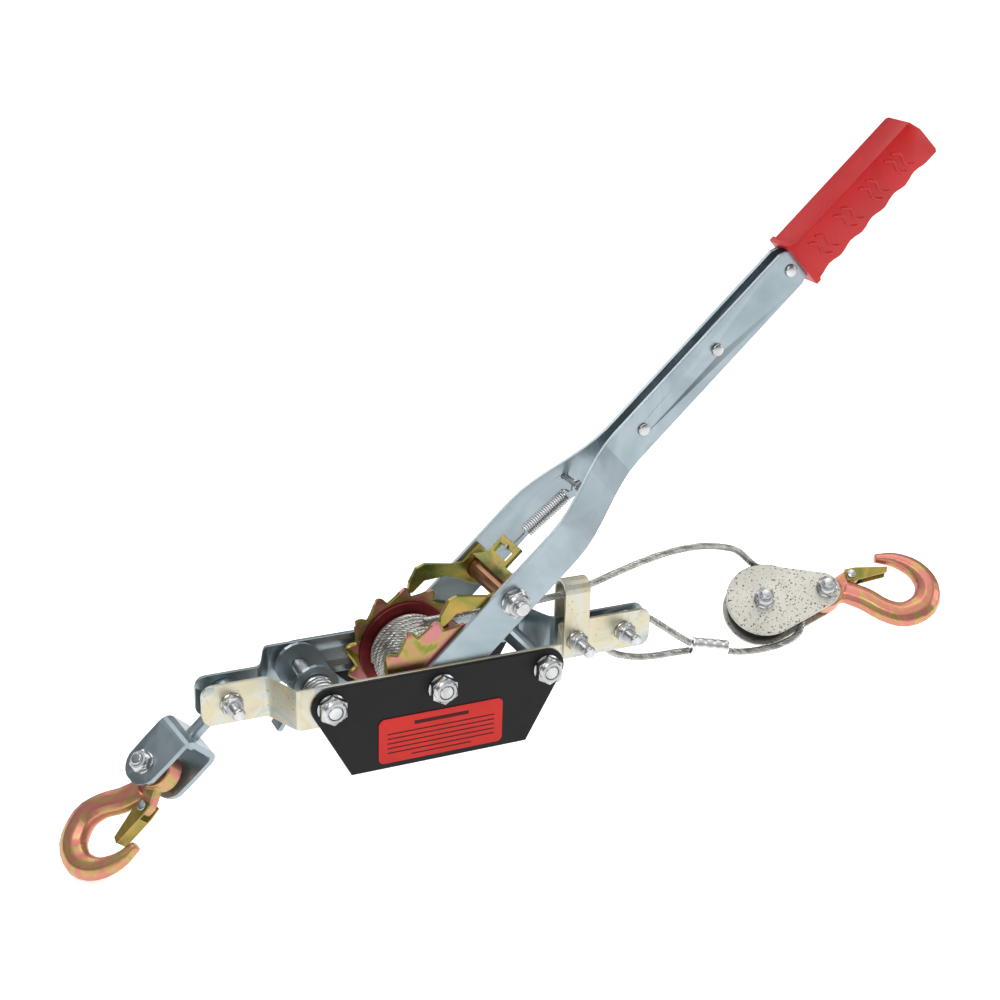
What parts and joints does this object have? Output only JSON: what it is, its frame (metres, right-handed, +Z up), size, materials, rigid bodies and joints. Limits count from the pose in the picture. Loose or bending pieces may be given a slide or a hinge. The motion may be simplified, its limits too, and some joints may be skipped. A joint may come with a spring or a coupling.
{
  "type": "come along winch",
  "caption": "Hand ratchet cable winch with lever, wire rope drum, pulley block and two safety hooks.",
  "frame": {"origin": "centre of the whole winch's plan box, at the level of its lowest point, the hanging hook", "axes": "+X along the frame from the hook shank end to the rope pulley end, +Y away from the label side, parallel to the drum axle, +Z up"},
  "size_m": [0.6244, 0.1092, 0.4451],
  "materials": {
    "zinc": "bluish zinc plate, satin",
    "speckled_zinc": "zinc plate with dark speckles",
    "yellow_zinc": "iridescent yellow chromate over zinc",
    "bright_steel": "bright zinc",
    "black_paint": "satin black powder coat",
    "label_film": "red printed film",
    "drum_red": "dark red-brown",
    "wire_rope": "galvanised strands",
    "aluminium": "pressed aluminium",
    "dark_steel": "dark oxide",
    "red_plastic": "moulded, slightly glossy"
  },
  "bodies": {
    "frame": {"side_strap_near": "zinc", "side_strap_far": "zinc", "guard_near": "black_paint", "guard_far": "black_paint", "label": "label_film", "frame_bolt_left": "bright_steel", "frame_bolt_axle": "bright_steel", "frame_bolt_right": "bright_steel", "frame_nut_left": "bright_steel", "frame_nut_axle": "bright_steel", "frame_nut_right": "bright_steel", "spacer_tube": "zinc", "shank_bolt": "bright_steel", "shank_nut": "bright_steel", "clip_bolt": "bright_steel", "clip_nut": "bright_steel", "eye_bolt": "bright_steel", "eye_nut": "bright_steel", "rope_clip": "yellow_zinc", "stop_pawl_spring": "bright_steel", "rope_run": "wire_rope", "rope_eye": "wire_rope", "ferrule": "aluminium"},
    "lever": {"handle_bar_near": "zinc", "handle_bar_far": "zinc", "handle_rivet_1": "bright_steel", "handle_rivet_2": "bright_steel", "handle_rivet_3": "bright_steel", "pawl_bolt": "bright_steel", "pawl_nut": "bright_steel", "spring_pin": "bright_steel", "handle_grip": "red_plastic"},
    "drum": {"ratchet_wheel_near": "yellow_zinc", "ratchet_wheel_far": "yellow_zinc", "drum_core": "dark_steel", "drum_flange": "drum_red", "rope_winding": "wire_rope"},
    "drive_pawl": {"drive_pawl": "yellow_zinc", "drive_pawl_bush": "bright_steel"},
    "pawl_spring": {"pawl_spring": "bright_steel"},
    "stop_pawl": {"stop_pawl": "zinc"},
    "shank": {"swivel_shank": "zinc"},
    "clevis": {"clevis": "zinc", "clevis_bolt": "bright_steel", "clevis_nut": "bright_steel"},
    "anchor_hook": {"anchor_hook": "yellow_zinc"},
    "anchor_latch": {"anchor_latch": "yellow_zinc", "anchor_latch_rivet": "bright_steel"},
    "block": {"block_plate_near": "speckled_zinc", "block_plate_far": "speckled_zinc", "sheave_bolt": "bright_steel", "sheave_nut": "bright_steel", "block_hook_bolt": "bright_steel", "block_hook_nut": "bright_steel"},
    "sheave": {"sheave": "dark_steel"},
    "load_hook": {"load_hook": "yellow_zinc"},
    "load_latch": {"load_latch": "yellow_zinc", "load_latch_rivet": "bright_steel"}
  },
  "joints": [
    {"name": "lever_swing", "type": "hinge", "parent": "frame", "child": "lever", "pos_m": [-0.072, 0.0107, 0.10398], "axis": [0, 1, 0], "range_deg": [-80, 8]},
    {"name": "drum_turn", "type": "hinge", "parent": "frame", "child": "drum", "pos_m": [-0.072, 0.0107, 0.10398], "axis": [0, 1, 0], "range_deg": [-80, 8]},
    {"name": "drive_pawl_lift", "type": "hinge", "parent": "lever", "child": "drive_pawl", "pos_m": [-0.0196, 0.0107, 0.15336], "axis": [0, 1, 0], "range_deg": [0, 25], "stiffness_Nm_per_rad": 0.3, "springref_deg": -20.05},
    {"name": "pawl_spring_swing", "type": "hinge", "parent": "lever", "child": "pawl_spring", "pos_m": [0.03917, 0.0107, 0.21493], "axis": [0, 1, 0], "range_deg": [-13.75, 0]},
    {"name": "stop_pawl_lift", "type": "hinge", "parent": "frame", "child": "stop_pawl", "pos_m": [-0.147, 0.0107, 0.10398], "axis": [0, 1, 0], "range_deg": [0, 20], "stiffness_Nm_per_rad": 0.2, "springref_deg": -20.05},
    {"name": "shank_swing", "type": "hinge", "parent": "frame", "child": "shank", "pos_m": [-0.203, 0.0107, 0.10398], "axis": [0, 1, 0], "range_deg": [-35, 60]},
    {"name": "clevis_swivel", "type": "hinge", "parent": "shank", "child": "clevis", "pos_m": [-0.24834, 0.0107, 0.06096], "axis": [-0.7254, 0, -0.6884], "continuous": true},
    {"name": "anchor_hook_swing", "type": "hinge", "parent": "clevis", "child": "anchor_hook", "pos_m": [-0.24834, 0.0107, 0.06096], "axis": [-0.6382, -0.3746, 0.6726], "range_deg": [-45, 70]},
    {"name": "anchor_latch_swing", "type": "hinge", "parent": "anchor_hook", "child": "anchor_latch", "pos_m": [-0.26009, -0.00117, 0.04319], "axis": [-0.6382, -0.3746, 0.6726], "range_deg": [-22, 0], "stiffness_Nm_per_rad": 0.02, "springref_deg": 17.19},
    {"name": "block_swing", "type": "hinge", "parent": "frame", "child": "block", "pos_m": [0.19, 0.0027, 0.10498], "axis": [-0.2971, -0.6105, 0.7342], "range_deg": [-25, 25]},
    {"name": "sheave_turn", "type": "hinge", "parent": "block", "child": "sheave", "pos_m": [0.19, 0.0027, 0.10498], "axis": [-0.2971, -0.6105, 0.7342], "continuous": true},
    {"name": "load_hook_swing", "type": "hinge", "parent": "block", "child": "load_hook", "pos_m": [0.23364, -0.00998, 0.1121], "axis": [-0.2971, -0.6105, 0.7342], "range_deg": [-45, 45]},
    {"name": "load_latch_swing", "type": "hinge", "parent": "load_hook", "child": "load_latch", "pos_m": [0.256, -0.0092, 0.12179], "axis": [-0.2971, -0.6105, 0.7342], "range_deg": [-22, 0], "stiffness_Nm_per_rad": 0.02, "springref_deg": 17.19}
  ],
  "couplings": [
    {"joint": "drum_turn", "follows": "lever_swing", "ratio": 1},
    {"joint": "pawl_spring_swing", "follows": "drive_pawl_lift", "ratio": -0.55}
  ]
}
